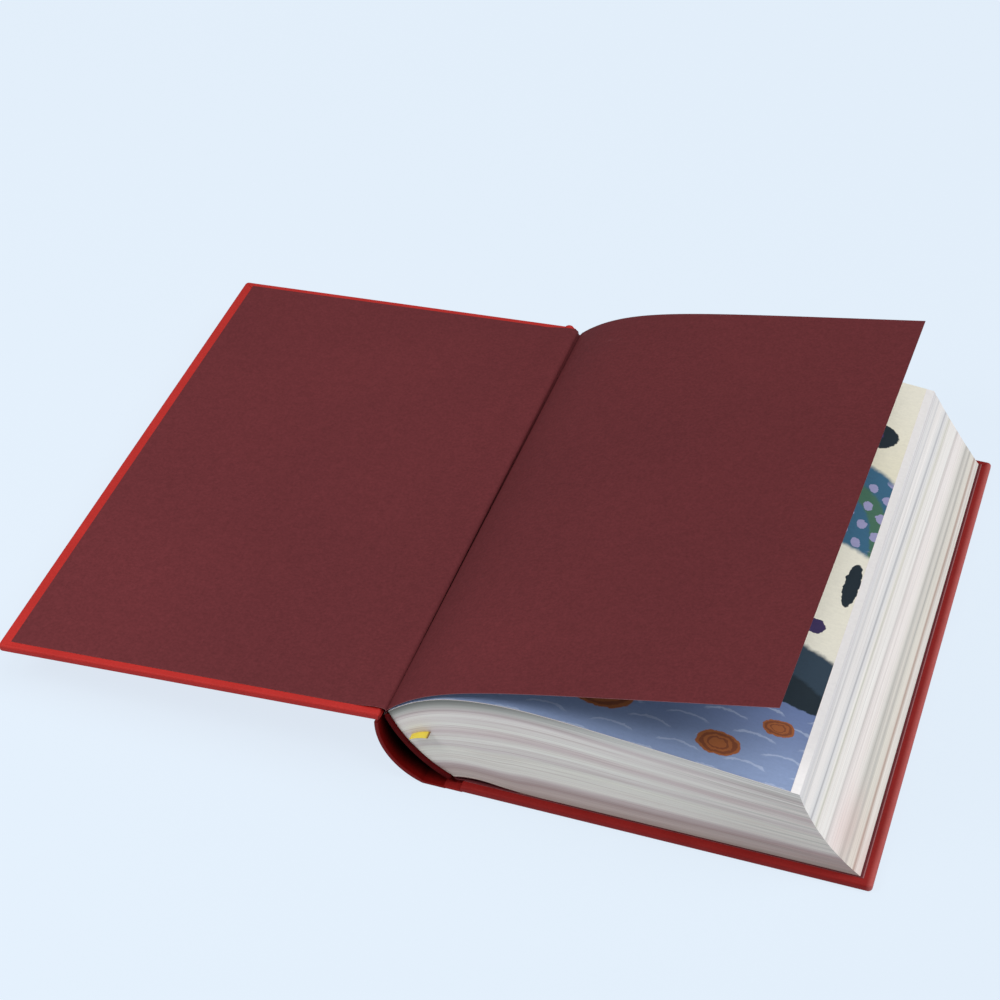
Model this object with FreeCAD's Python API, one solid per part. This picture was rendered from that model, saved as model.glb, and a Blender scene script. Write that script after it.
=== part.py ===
import FreeCAD, Part
import math
import os

# An open case-bound book. Its back cover lies on the table and the leaves lie on that,
# the front cover is open to the left, and the first blank leaf is lifted.
# X runs from the spine to the back cover's fore-edge, Y from the tail to the head, Z up.
# Lengths are in millimetres and angles in degrees. X and Z start at the spine's foot on the
# table and Y at the covers' tail, until the pieces are written out.

# Leaves
pageHeight = 234.0
pageWidth = 145.1          # of the lowest leaf, from the back joint to the fore-edge
spineDepth = 34.2          # of the leaves together, along their spine
spineLean = 135.1          # the spine's direction from the back joint, open as it is
spineArch = 3.0            # how far the rounded spine stands out from its chord
crownRise = 15.2           # highest point of the leaves, above the upper corner of their spine
crownX = 28.0
foreEdgeHeight = 31.6      # height of the top leaf at the fore-edge, above the lowest leaf
foreEdgeSlip = 24.0        # how far the top leaf has slipped back from the lowest one
headSlip = 22.0            # the same at the head
foreEdgeHollow = 2.8       # depth of the hollow in the fore-edge
headHollow = 0.4           # the same at the head
gutterDrift = 1.9          # how far the top leaf's root lies further in at the head
archHeight = 1.5           # how far the lowest leaf arches off the back cover
archReach = 34.0           # how far from the joint it lies down

# Covers
endSquare = 3.3            # how far the covers stand out past the leaves at head and tail
foreEdgeSquare = 4.9
boardThickness = 2.3
clothThickness = 0.35
paperThickness = 0.2
turnIn = 15.0              # width of the cloth turned over the boards
edgeRound = 1.0
cornerRound = 1.6
backJoint = 14.2           # from the spine's foot to the back board
backHingeX = 9.0           # the back joint's axis, in the cloth on the table
jointOffset = 1.6          # from that axis to the leaves' lower corner
frontTilt = 4.3            # slope of the open front cover, down to its fore-edge
frontJoint = 2.8           # from the leaves' upper corner to the open front board
frontLift = 0.56           # how far the front board's inner face lies above that corner
pasteMargin = 4.3          # cloth left showing beside a pasted sheet at the fore-edge
pasteMarginEnds = 2.9      # and at head and tail
jointFold = 1.5            # how far the joint's cloth stands out round the front board's inner edge
pasteLift = 0.8            # how far the pasted sheet rises off the front board at the joint
pasteLiftReach = 14.0
jointSag = 0.3             # how far the back pasted sheet dips between board and leaves

# Case spine, linings, bands
caseLap = 1.4              # how far the case spine's front end lies under the front board
caseDrop = 1.0             # and how far below it
caseArch = 4.8             # how far the case spine stands out from its chord
stiffenerThickness = 0.8
stiffenerMargin = 1.5      # from the stiffener's long edges to the ends of the case spine
liningThickness = 0.6
liningMargin = 1.2
bandWidth = 2.6
bandDepth = 1.3
bandInset = 0.6            # how far a band reaches over the leaves' ends
bandMargin = 3.2           # from a band's ends to the spine's corners

# Lifted leaf: how far its free edge lies from its root, the slope share of its flat part,
# and how soon it leaves its steep root, at tail and head
leafRunTail = 135.9
leafRiseTail = 44.0
leafRunHead = 138.5
leafRiseHead = 39.3
leafSlopeRatioTail = 0.735
leafSlopeRatioHead = 0.68
leafBendRatioTail = 0.1
leafBendRatioHead = 0.115

# Ribbon marker
ribbonWidth = 7.9
ribbonThickness = 0.3
ribbonSlope = 31.5
ribbonPlace = 0.62         # its lower edge's share of the way up the spine, at the tail
ribbonShort = 1.7          # how far it hangs out at the tail on its spine side
ribbonLong = 3.4           # and on its other side, where the slanting cut ends
ribbonFold = 3.2           # how far it is folded over towards the spine at the head
ribbonTuck = 2.2           # and how far down

# Clearances
paperGap = 0.3             # between papers that bend at a joint
clothGap = 0.6             # between the cloth on two sides of a joint
ribbonGap = 0.15
glueGap = 0.1              # between the leaves' spine and its lining

# Worked out from the values above
coverThickness = boardThickness + 2 * clothThickness
coverHeight = pageHeight + 2 * endSquare
coverFace = coverThickness + paperThickness
blockFloor = coverFace + paperThickness
tailY = endSquare
headY = endSquare + pageHeight
footX = backHingeX + jointOffset
footZ = blockFloor + paperGap
foreEdgeX = footX + pageWidth
boardWidth = foreEdgeX + foreEdgeSquare - backJoint
caseShell = 2 * clothThickness + stiffenerThickness
originX = backJoint + boardWidth / 2
originY = coverHeight / 2


# Lines and outlines, as points (x, z) in the plane at y

def at(point, y):
    return FreeCAD.Vector(point[0], y, point[1])


def spline(points, y):
    line = Part.BSplineCurve()
    line.interpolate([at(point, y) for point in points])
    return line.toShape()


def smoothFrom(points, y):
    """A curve that leaves its first point level, towards the spine, and so runs on from a flat line."""
    line = Part.BSplineCurve()
    last = at(points[-1], y) - at(points[-2], y)
    line.interpolate(Points=[at(point, y) for point in points],
                     InitialTangent=FreeCAD.Vector(-1, 0, 0), FinalTangent=last.normalize())
    return line.toShape()


def straight(first, last, y):
    return Part.LineSegment(at(first, y), at(last, y)).toShape()


def arc(first, middle, last, y):
    return Part.Arc(at(first, y), at(middle, y), at(last, y)).toShape()


def archPoint(first, last, arch):
    """The middle of an arc from first to last that stands out to its left by arch."""
    dx = last[0] - first[0]
    dz = last[1] - first[1]
    length = math.hypot(dx, dz)
    x = (first[0] + last[0]) / 2 - dz / length * arch
    z = (first[1] + last[1]) / 2 + dx / length * arch
    return (x, z)


def raised(point, height):
    return (point[0], point[1] + height)


def ruled(tailOutline, headOutline):
    """A solid whose sides run straight from the tail's outline to the head's."""
    return Part.makeLoft([tailOutline, headOutline], True, True)


def sheetOutline(edges, thickness):
    """A sheet seen on its edge: the lower line, the same line higher, and both ends."""
    upper = [edge.translated(FreeCAD.Vector(0, 0, thickness)) for edge in edges]
    line = Part.Wire(edges)
    first = line.OrderedVertexes[0].Point
    last = line.OrderedVertexes[-1].Point
    lift = FreeCAD.Vector(0, 0, thickness)
    ends = [Part.LineSegment(last, last + lift).toShape(), Part.LineSegment(first + lift, first).toShape()]
    return Part.Wire(Part.__sortEdges__(edges + upper + ends))


def bandOutline(first, last, arch, low, high, margin, y):
    """The strip between two arcs that lie low and high outside the arc from first to last."""
    half = math.hypot(last[0] - first[0], last[1] - first[1]) / 2
    radius = (half * half + arch * arch) / (2 * arch)
    centre = archPoint(first, last, arch - radius)
    begin = math.atan2(first[1] - centre[1], first[0] - centre[0])
    sweep = 2 * math.asin(half / radius)
    trim = margin / radius

    def onArc(offset, share):
        angle = begin - trim - (sweep - 2 * trim) * share
        reach = radius + offset
        return (centre[0] + reach * math.cos(angle), centre[1] + reach * math.sin(angle))

    inner = [onArc(low, share) for share in (0, 0.5, 1)]
    outer = [onArc(high, share) for share in (1, 0.5, 0)]
    return Part.Wire([arc(*inner, y), straight(inner[2], outer[0], y),
                      arc(*outer, y), straight(outer[2], inner[0], y)])


def alongY(outline, length):
    return Part.Face(outline).extrude(FreeCAD.Vector(0, length, 0))


# Spine of the leaves
spineFoot = (footX, footZ)
spineTop = (footX + spineDepth * math.cos(math.radians(spineLean)),
            footZ + spineDepth * math.sin(math.radians(spineLean)))
spineTopHead = (spineTop[0] + gutterDrift, spineTop[1])
leafRoot = (spineTop[0] - 2 * paperGap, spineTop[1] + paperGap)
leafRootHead = (leafRoot[0] + gutterDrift, leafRoot[1])

# Inner upper edge of the open front board
frontEdgeX = spineTop[0] - frontJoint
frontEdgeZ = spineTop[1] + frontLift


def topLine(root, edge, lag, y):
    """The top leaf: steep from its root to the crown, then a long slope to the fore-edge."""
    crown = (crownX, root[1] + crownRise)
    run = crown[0] - root[0]
    rise = crown[1] - root[1]
    climb = [(0.11, 0.265 - lag), (0.34, 0.64 - lag), (0.63, 0.885 - lag / 2)]
    fall = [(0.28, 0.15), (0.62, 0.54)]
    points = [root] + [(root[0] + a * run, root[1] + b * rise) for a, b in climb] + [crown]
    points += [(crown[0] + a * (edge[0] - crown[0]), crown[1] - b * (crown[1] - edge[1])) for a, b in fall]
    return spline(points + [edge], y)


def lowestLine(floor, foot, y):
    """The lowest leaf: flat from the fore-edge, then an arch down into the back joint."""
    rest = (footX + archReach, floor)
    arch = (footX + archReach * 0.5, floor + archHeight * 0.6)
    shoulder = (footX + archReach * 0.18, floor + archHeight)
    return [straight((foreEdgeX, floor), rest, y), smoothFrom([rest, arch, shoulder, foot], y)]


def blockOutline(root, slip, hollow, lag, y):
    edge = (foreEdgeX - slip, blockFloor + foreEdgeHeight)
    low = (foreEdgeX, blockFloor)
    spine = arc(spineFoot, archPoint(spineFoot, root, spineArch), root, y)
    foreEdge = arc(edge, archPoint(edge, low, -hollow), low, y)
    return Part.Wire([spine, topLine(root, edge, lag, y), foreEdge] + lowestLine(blockFloor, spineFoot, y))


# Ribbon: s runs across its width, n through its thickness
ribbonDrift = ribbonPlace * gutterDrift
ribbonEdge = (spineFoot[0] + ribbonPlace * (spineTop[0] - spineFoot[0]),
              spineFoot[1] + ribbonPlace * (spineTop[1] - spineFoot[1]))


def onRibbon(s, n, y):
    slope = math.radians(ribbonSlope)
    shift = s + ribbonDrift * (y - tailY) / pageHeight
    x = ribbonEdge[0] + shift * math.cos(slope) - n * math.sin(slope)
    z = ribbonEdge[1] + shift * math.sin(slope) + n * math.cos(slope)
    return at((x, z), y)


def ribbonPiece(outline, low, high):
    """A flat piece in the ribbon's plane, from an outline of (s, y)."""
    corners = [onRibbon(s, low, y) for s, y in outline]
    face = Part.Face(Part.makePolygon(corners + corners[:1]))
    return face.extrude(onRibbon(0, high, 0) - onRibbon(0, low, 0))


def makeRibbon():
    strip = ribbonPiece([(0, tailY - ribbonShort), (ribbonWidth, tailY - ribbonLong),
                         (ribbonWidth, headY), (0, headY)], 0, ribbonThickness)
    fold = ribbonPiece([(-ribbonFold, headY), (ribbonWidth, headY), (ribbonWidth, headY + ribbonThickness),
                        (-ribbonFold, headY + ribbonThickness)], -ribbonTuck, ribbonThickness)
    return strip.fuse(fold).removeSplitter()


def makeTextBlock():
    block = ruled(blockOutline(spineTop, foreEdgeSlip, foreEdgeHollow, 0.0, tailY),
                  blockOutline(spineTopHead, headSlip, headHollow, 0.05, headY))
    near = tailY - ribbonLong
    far = headY + ribbonLong
    left = -ribbonGap
    right = ribbonWidth + ribbonGap
    gap = ribbonPiece([(left, near), (right, near), (right, far), (left, far)],
                      -ribbonGap, ribbonThickness + ribbonGap)
    return block.cut(gap)


def makeBackFlyleaf():
    foot = raised(spineFoot, -paperThickness)
    outlines = [sheetOutline(lowestLine(coverFace, foot, y), paperThickness) for y in (tailY, headY)]
    return ruled(*outlines)


def leafLine(root, run, rise, slope, bend, y):
    """Climbs as slope * s + (1 - slope) * (1 - exp(-s / bend)) along the share s of its run."""
    points = []
    for s in (0, 0.035, 0.09, 0.17, 0.27, 0.42, 0.7, 1):
        climb = slope * s + (1 - slope) * (1 - math.exp(-s / bend))
        points.append((root[0] + s * run, root[1] + climb * rise))
    return spline(points, y)


def makeFrontFlyleaf():
    tailLine = leafLine(leafRoot, leafRunTail, leafRiseTail,
                        leafSlopeRatioTail, leafBendRatioTail, tailY)
    headLine = leafLine(leafRootHead, leafRunHead, leafRiseHead,
                        leafSlopeRatioHead, leafBendRatioHead, headY)
    return ruled(sheetOutline([tailLine], paperThickness), sheetOutline([headLine], paperThickness))


def makeSpineLining():
    outlines = [bandOutline(spineFoot, top, spineArch, glueGap, glueGap + liningThickness, liningMargin, y)
                for top, y in ((spineTop, tailY), (spineTopHead, headY))]
    return ruled(*outlines)


def makeBand(top, y):
    outline = bandOutline(spineFoot, top, spineArch, -bandInset, bandWidth - bandInset, bandMargin, y)
    return alongY(outline, bandDepth)


# Case spine: cloth outside, folded in at head and tail over the stiffener
caseFoot = (0.0, 0.0)
caseTop = (frontEdgeX - caseLap, frontEdgeZ - coverThickness - caseDrop)


def caseBand(low, high, margin, start, length):
    return alongY(bandOutline(caseFoot, caseTop, caseArch, low, high, margin, start), length)


def makeSpineStiffener():
    length = coverHeight - 2 * clothThickness
    return caseBand(-clothThickness - stiffenerThickness, -clothThickness, stiffenerMargin,
                    clothThickness, length)


def makeSpineCloth():
    outer = caseBand(-clothThickness, 0, 0, 0, coverHeight)
    inside = clothThickness + stiffenerThickness
    pieces = []
    for start, fold in ((0, 0), (coverHeight - turnIn, coverHeight - clothThickness)):
        pieces.append(caseBand(-caseShell, -inside, stiffenerMargin, start, turnIn))
        pieces.append(caseBand(-caseShell, 0, stiffenerMargin, fold, clothThickness))
    strip = Part.makeBox(backHingeX - clothGap, coverHeight, clothThickness)
    return outer.multiFuse(pieces + [strip]).removeSplitter()


# Covers: the hinge edge at X 0, the fore-edge at +X, the inner face up

def rounded(box, corner, edge):
    """Rounds the two fore-edge corners, then the outer edges on three sides."""
    reach = box.BoundBox.XMax
    corners = [e for e in box.Edges if e.BoundBox.ZLength > corner and e.BoundBox.XMin > reach - 0.01]
    box = box.makeFillet(corner, corners)
    rims = [e for e in box.Edges if e.BoundBox.ZLength < 0.01 and e.BoundBox.XMax > 0.01]
    return box.makeFillet(edge, rims)


def makeBoard():
    inset = clothThickness
    core = Part.makeBox(boardWidth - inset, coverHeight - 2 * inset, boardThickness,
                        FreeCAD.Vector(0, inset, inset))
    core = rounded(core, cornerRound - inset, edgeRound - inset)
    panel = Part.makeBox(boardWidth - turnIn, coverHeight - 2 * turnIn, boardThickness,
                         FreeCAD.Vector(0, turnIn, coverThickness - boardThickness))
    return core.fuse(panel).removeSplitter()


def makeCoverCloth(board):
    """The cloth round a board: under it, round its edges and turned in over it."""
    envelope = rounded(Part.makeBox(boardWidth, coverHeight, coverThickness), cornerRound, edgeRound)
    return envelope.cut(board)


def makeBackCoverCloth(board):
    strip = Part.makeBox(backJoint - backHingeX - clothGap, coverHeight, clothThickness,
                         FreeCAD.Vector(backHingeX + clothGap - backJoint, 0, 0))
    return makeCoverCloth(board).fuse(strip).removeSplitter()


def makeFrontCoverCloth(board):
    """The joint's cloth folds up round the open board's inner edge."""
    top = coverThickness
    y = edgeRound
    outer = arc((0, 0), (-jointFold, top / 2), (0, top), y)
    inner = arc((0, top - clothThickness), (clothThickness - jointFold, top / 2), (0, clothThickness), y)
    ends = [straight((0, top), (0, top - clothThickness), y), straight((0, clothThickness), (0, 0), y)]
    fold = alongY(Part.Wire(Part.__sortEdges__([outer, inner] + ends)), coverHeight - 2 * edgeRound)
    return makeCoverCloth(board).fuse(fold).removeSplitter()


def pasteOutline(bend, reach, y):
    flat = straight((boardWidth - pasteMargin, coverThickness), (reach, coverThickness), y)
    return sheetOutline([flat, bend], paperThickness)


def makeBackPastedown():
    """Flat on the board and on over the joint, up to the leaves' lower corner."""
    outlines = []
    end = footX + paperGap - backJoint
    for y in (pasteMarginEnds, coverHeight - pasteMarginEnds):
        dip = [(0, coverThickness), (0.5 * end, coverThickness - jointSag), (end, coverThickness)]
        bend = smoothFrom(dip, y)
        outlines.append(pasteOutline(bend, 0, y))
    return ruled(*outlines)


def makeFrontPastedown():
    """Flat on the board, lifted a little at the joint, then down into the gutter."""
    outlines = []
    for drift, y in ((0, pasteMarginEnds), (gutterDrift, coverHeight - pasteMarginEnds)):
        fold = leafRoot[0] + drift - frontEdgeX - paperGap
        lift = [(pasteLiftReach, 0), (0.45 * pasteLiftReach, 0.5 * pasteLift), (0.3, pasteLift),
                (-0.6 * fold, 0.65 * pasteLift), (-fold, -paperGap)]
        bend = smoothFrom([raised(point, coverThickness) for point in lift], y)
        outlines.append(pasteOutline(bend, pasteLiftReach, y))
    return ruled(*outlines)


def onTable(shape):
    return shape.translated(FreeCAD.Vector(backJoint, 0, 0))


def opened(shape):
    """A cover turned over the spine, sloping down to its fore-edge."""
    shape = shape.mirror(FreeCAD.Vector(0, 0, 0), FreeCAD.Vector(1, 0, 0))
    shape.rotate(FreeCAD.Vector(0, 0, coverThickness), FreeCAD.Vector(0, 1, 0), -frontTilt)
    return shape.translated(FreeCAD.Vector(frontEdgeX, 0, frontEdgeZ - coverThickness))


board = makeBoard()
nodes = {
    "back_board": onTable(board),
    "back_cover_cloth": onTable(makeBackCoverCloth(board)),
    "back_pastedown": onTable(makeBackPastedown()),
    "text_block": makeTextBlock(),
    "front_flyleaf": makeFrontFlyleaf(),
    "back_flyleaf": makeBackFlyleaf(),
    "spine_lining": makeSpineLining(),
    "tail_band": makeBand(spineTop, tailY - bandDepth),
    "head_band": makeBand(spineTopHead, headY + ribbonThickness),
    "ribbon_marker": makeRibbon(),
    "spine_cloth": makeSpineCloth(),
    "spine_stiffener": makeSpineStiffener(),
    "front_board": opened(board),
    "front_cover_cloth": opened(makeFrontCoverCloth(board)),
    "front_pastedown": opened(makeFrontPastedown()),
}

# The pieces are written out with the origin at the middle of the back cover's underside
os.makedirs("parts", exist_ok=True)
for name, shape in nodes.items():
    shape.translate(FreeCAD.Vector(-originX, -originY, 0))
    shape.exportStep("parts/" + name + ".step")
    box = shape.BoundBox
    print(name, len(shape.Solids), shape.isValid(), round(shape.Volume / 1000, 2), "cm3",
          [round(v, 1) for v in (box.XMin, box.XMax, box.YMin, box.YMax, box.ZMin, box.ZMax)])
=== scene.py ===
import math
import bpy
import bmesh
import numpy as np
from mathutils import Matrix, Vector


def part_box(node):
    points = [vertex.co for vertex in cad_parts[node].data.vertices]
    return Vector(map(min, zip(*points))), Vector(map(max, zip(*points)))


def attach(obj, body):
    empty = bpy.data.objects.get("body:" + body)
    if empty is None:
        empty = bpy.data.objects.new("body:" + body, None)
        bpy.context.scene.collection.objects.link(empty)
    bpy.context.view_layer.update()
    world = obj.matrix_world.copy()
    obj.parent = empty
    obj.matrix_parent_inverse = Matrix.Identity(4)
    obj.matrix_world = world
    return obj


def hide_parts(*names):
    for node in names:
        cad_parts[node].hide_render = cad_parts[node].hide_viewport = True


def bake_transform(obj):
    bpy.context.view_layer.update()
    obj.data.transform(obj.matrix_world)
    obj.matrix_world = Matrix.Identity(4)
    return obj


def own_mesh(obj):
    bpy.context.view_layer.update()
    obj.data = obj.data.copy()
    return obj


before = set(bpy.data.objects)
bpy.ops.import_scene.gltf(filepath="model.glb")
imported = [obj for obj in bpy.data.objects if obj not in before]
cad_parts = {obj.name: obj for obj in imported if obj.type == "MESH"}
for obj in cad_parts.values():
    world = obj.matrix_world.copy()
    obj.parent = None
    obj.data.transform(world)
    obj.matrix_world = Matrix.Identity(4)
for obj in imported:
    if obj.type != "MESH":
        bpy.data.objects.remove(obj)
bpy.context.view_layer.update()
print("frame loaded:", len(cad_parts), "nodes")

# Lengths below are millimetres. X and Z start at the spine's foot on the table, and Y at the
# covers' tail edge; toFrame turns them into the frame's metres.
mm = 0.001

book = {
    "backJoint": 14.2,           # from the spine's foot to the back board
    "foot": (10.6, 3.7),         # lower corner of the leaves at the back joint
    "spineDepth": 34.2,          # of the leaves together, along their spine
    "spineLean": 135.1,          # the spine's direction from that corner
    "spineArch": 3.0,
    "gutterDrift": 1.9,          # how far the upper leaves' roots lie further in at the head
    "tail": 3.3,
    "pageHeight": 234.0,
    "coverHeight": 240.6,
    "coverThickness": 3.0,
    "boardWidth": 146.4,
    "paper": 0.2,
    "cloth": 0.35,
}
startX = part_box("back_board")[0].x / mm - book["backJoint"]
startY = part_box("back_cover_cloth")[0].y / mm


def toFrame(points):
    return (np.asarray(points, float) + (startX, startY, 0)) * mm


# The same for a point (x, z), as a plain list
def spot(point):
    return toFrame((point[0], 0, point[1])).tolist()


lean = math.radians(book["spineLean"])
foot = np.array(book["foot"])
spineTop = foot + book["spineDepth"] * np.array([math.cos(lean), math.sin(lean)])
leafRoot = spineTop + (-0.6, 0.3)
tailY = book["tail"]
headY = book["tail"] + book["pageHeight"]


# Curves and grids

# A cubic spline through the points, timed by their distances, whose end slopes are those of the
# cubic through the four points at each end
def curveThrough(points, count):
    points = np.asarray(points, float)
    times = np.r_[0, np.cumsum(np.hypot(*np.diff(points, axis=0).T))]
    times /= times[-1]
    steps = np.diff(times)
    size = len(points)
    reach = min(4, size)
    system = np.eye(size)
    right = np.zeros((size, 2))
    for row, part in ((0, slice(0, reach)), (size - 1, slice(size - reach, size))):
        fits = [np.polyfit(times[part], points[part, k], reach - 1) for k in (0, 1)]
        right[row] = [np.polyval(np.polyder(fit), times[row]) for fit in fits]
    for k in range(1, size - 1):
        system[k, k - 1:k + 2] = [1 / steps[k - 1], 2 / steps[k - 1] + 2 / steps[k], 1 / steps[k]]
        right[k] = 3 * ((points[k] - points[k - 1]) / steps[k - 1] ** 2
                        + (points[k + 1] - points[k]) / steps[k] ** 2)
    slopes = np.linalg.solve(system, right)
    share = np.linspace(0, 1, count)
    k = np.clip(np.searchsorted(times, share, "right") - 1, 0, size - 2)
    span = steps[k][:, None]
    u = ((share - times[k]) / steps[k])[:, None]
    return ((2 * u ** 3 - 3 * u ** 2 + 1) * points[k] + (u ** 3 - 2 * u ** 2 + u) * span * slopes[k]
            + (3 * u ** 2 - 2 * u ** 3) * points[k + 1] + (u ** 3 - u ** 2) * span * slopes[k + 1])


# The same line with its points at equal distances
def evenly(points, count):
    points = np.asarray(points, float)
    reach = np.r_[0, np.cumsum(np.hypot(*np.diff(points, axis=0).T))]
    where = np.linspace(0, reach[-1], count)
    return np.stack([np.interp(where, reach, points[:, k]) for k in (0, 1)], 1)


# Points at equal angles on the circle through first and last that stands out to their left by
# arch, or to the right where arch is negative
def arcLine(first, last, arch, count):
    first, last = np.asarray(first, float), np.asarray(last, float)
    half = np.hypot(*(last - first)) / 2
    radius = (half ** 2 + arch ** 2) / (2 * abs(arch))
    side = math.copysign(1, arch)
    left = np.array([-(last - first)[1], (last - first)[0]]) / (2 * half) * side
    centre = (first + last) / 2 + left * (abs(arch) - radius)
    begin = math.atan2(*(first - centre)[::-1])
    angles = begin - side * np.linspace(0, 2 * math.asin(half / radius), count)
    return centre + radius * np.stack([np.cos(angles), np.sin(angles)], 1)


# The point of an evenly spaced line at each share of its length
def alongLine(line, share):
    where = np.linspace(0, 1, len(line))
    return np.stack([np.interp(share, where, line[:, k]) for k in (0, 1)], -1)


# Unit vectors square to a line, on its left
def leftOf(line):
    along = np.gradient(line, axis=0)
    along /= np.hypot(*along.T)[:, None]
    return np.stack([-along[:, 1], along[:, 0]], 1)


# Two parameters on a grid: rows follow the first, columns the second
def grid(first, second):
    return np.meshgrid(first, second, indexing="ij")


# Points (x, z) on a grid set at the heights y
def standing(flat, y):
    return np.stack([flat[..., 0], np.broadcast_to(y, flat.shape[:-1]), flat[..., 1]], -1)


# Joins patches, each (points on a grid in mm, UV on the same grid, material number), into one
# mesh with merged seams, open ends filled where asked, and faces turned outwards
def makePiece(name, patches, materials, body=None, sharp=40.0, fill=False):
    coords, faces, uvs, numbers = [], [], [], []
    start = 0
    for points, uv, number in patches:
        rows, columns = points.shape[:2]
        index = start + np.arange(rows * columns).reshape(rows, columns)
        quads = np.stack([index[:-1, :-1], index[:-1, 1:], index[1:, 1:], index[1:, :-1]], -1).reshape(-1, 4)
        coords.append(toFrame(points).reshape(-1, 3))
        uvs.append(np.broadcast_to(uv, (rows, columns, 2)).reshape(-1, 2))
        faces.append(quads)
        numbers.append(np.full(len(quads), number, np.int32))
        start += rows * columns
    faces, uvs = np.concatenate(faces), np.concatenate(uvs)
    mesh = bpy.data.meshes.new(name)
    mesh.from_pydata(np.concatenate(coords), [], faces)
    layer = mesh.uv_layers.new(name="pieceUV")
    layer.data.foreach_set("uv", uvs[faces.reshape(-1)].astype(np.float32).reshape(-1))
    mesh.polygons.foreach_set("material_index", np.concatenate(numbers))
    for material in materials:
        mesh.materials.append(material)
    work = bmesh.new()
    work.from_mesh(mesh)
    bmesh.ops.remove_doubles(work, verts=work.verts, dist=0.002 * mm)
    bmesh.ops.dissolve_degenerate(work, dist=0.001 * mm, edges=work.edges)
    if fill:
        edges = [edge for edge in work.edges if edge.is_boundary]
        made = bmesh.ops.holes_fill(work, edges=edges, sides=0)
        bmesh.ops.triangulate(work, faces=made["faces"])
    bmesh.ops.recalc_face_normals(work, faces=work.faces)
    work.to_mesh(mesh)
    work.free()
    mesh.shade_smooth()
    mesh.set_sharp_from_angle(angle=math.radians(sharp))
    piece = bpy.data.objects.new(name, mesh)
    bpy.context.scene.collection.objects.link(piece)
    if body:
        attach(piece, body)
    return piece


# Patches of a closed sheet between two grids of points: both faces and the four rims, at the
# first row, last row, first column and last column
def slab(low, high, uv, faceNumber=0, backNumber=0, rimNumbers=(0, 0, 0, 0)):
    patches = [(high, uv, faceNumber), (low, uv, backNumber)]
    cuts = ((0, slice(None)), (-1, slice(None)), (slice(None), 0), (slice(None), -1))
    for cut, number in zip(cuts, rimNumbers):
        patches.append((np.stack([low[cut], high[cut]]), np.stack([uv[cut], uv[cut]]), number))
    return patches


def standFor(piece, slot, *nodes):
    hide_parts(*nodes)


# Materials

# A colour as read off a screen, 0 to 255, as linear values
def ink(red, green, blue):
    levels = np.array([red, green, blue]) / 255
    linear = np.where(levels <= 0.04045, levels / 12.92, ((levels + 0.055) / 1.055) ** 2.4)
    return (*linear.tolist(), 1.0)


def grey(level):
    return (level, level, level, 1.0)


# A material's nodes, with a short call for each kind
class Recipe:
    def __init__(self, name, roughness=0.8, specular=0.3):
        self.material = bpy.data.materials.new(name)
        self.material.use_nodes = True
        self.tree = self.material.node_tree
        self.shader = self.tree.nodes["Principled BSDF"]
        self.shader.inputs["Roughness"].default_value = roughness
        self.shader.inputs["Specular IOR Level"].default_value = specular
        self.object = self.add("ShaderNodeTexCoord").outputs["Object"]
        self.uv = self.add("ShaderNodeUVMap", uv_map="pieceUV").outputs["UV"]

    def add(self, kind, inputs=None, **settings):
        made = self.tree.nodes.new(kind)
        for key, value in settings.items():
            setattr(made, key, value)
        for key, value in (inputs or {}).items():
            if isinstance(value, bpy.types.NodeSocket):
                self.tree.links.new(value, made.inputs[key])
            else:
                made.inputs[key].default_value = value
        return made

    def math(self, operation, first, second=0.0, third=0.0):
        return self.add("ShaderNodeMath", {0: first, 1: second, 2: third}, operation=operation).outputs[0]

    def times(self, first, second):
        return self.math("MULTIPLY", first, second)

    def vector(self, operation, first, second=(0, 0, 0), third=(0, 0, 0)):
        inputs = {0: first, 1: second, 2: third}
        return self.add("ShaderNodeVectorMath", inputs, operation=operation).outputs[0]

    def scaled(self, coords, scale, location=(0, 0, 0), turn=0.0):
        inputs = {"Vector": coords, "Scale": scale, "Location": location, "Rotation": (0, 0, turn)}
        return self.add("ShaderNodeMapping", inputs).outputs[0]

    def noise(self, coords, scale=1.0, detail=2.0, roughness=0.5, output="Fac"):
        inputs = {"Vector": coords, "Scale": scale, "Detail": detail, "Roughness": roughness}
        return self.add("ShaderNodeTexNoise", inputs).outputs[output]

    def ramp(self, value, stops):
        made = self.add("ShaderNodeValToRGB", {"Fac": value})
        elements = made.color_ramp.elements
        while len(elements) < len(stops):
            elements.new(1.0)
        for spot, (place, colour) in zip(elements, stops):
            spot.position = place
            spot.color = colour
        return made.outputs["Color"]

    def mix(self, share, first, second, blend="MIX"):
        made = self.add("ShaderNodeMix", {0: share, 6: first, 7: second}, data_type="RGBA", blend_type=blend)
        return made.outputs[2]

    # The tone times low where the value is under 0.3, and times high where it is over top
    def mottled(self, tone, value, low, high, top=0.7):
        shade = self.ramp(value, [(0.3, grey(low)), (top, grey(high))])
        return self.mix(1.0, tone, shade, "MULTIPLY")

    # 0 at low, 1 at high, smooth between
    def between(self, value, low, high):
        made = self.add("ShaderNodeMapRange", {"Value": value, "From Min": low, "From Max": high},
                        interpolation_type="SMOOTHSTEP")
        return made.outputs[0]

    def apart(self, coords):
        return self.add("ShaderNodeSeparateXYZ", {0: coords}).outputs

    def colour(self, value):
        self.tree.links.new(value, self.shader.inputs["Base Color"])

    def bump(self, height, distance, strength=1.0):
        made = self.add("ShaderNodeBump", {"Height": height, "Distance": distance, "Strength": strength})
        self.tree.links.new(made.outputs[0], self.shader.inputs["Normal"])


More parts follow.
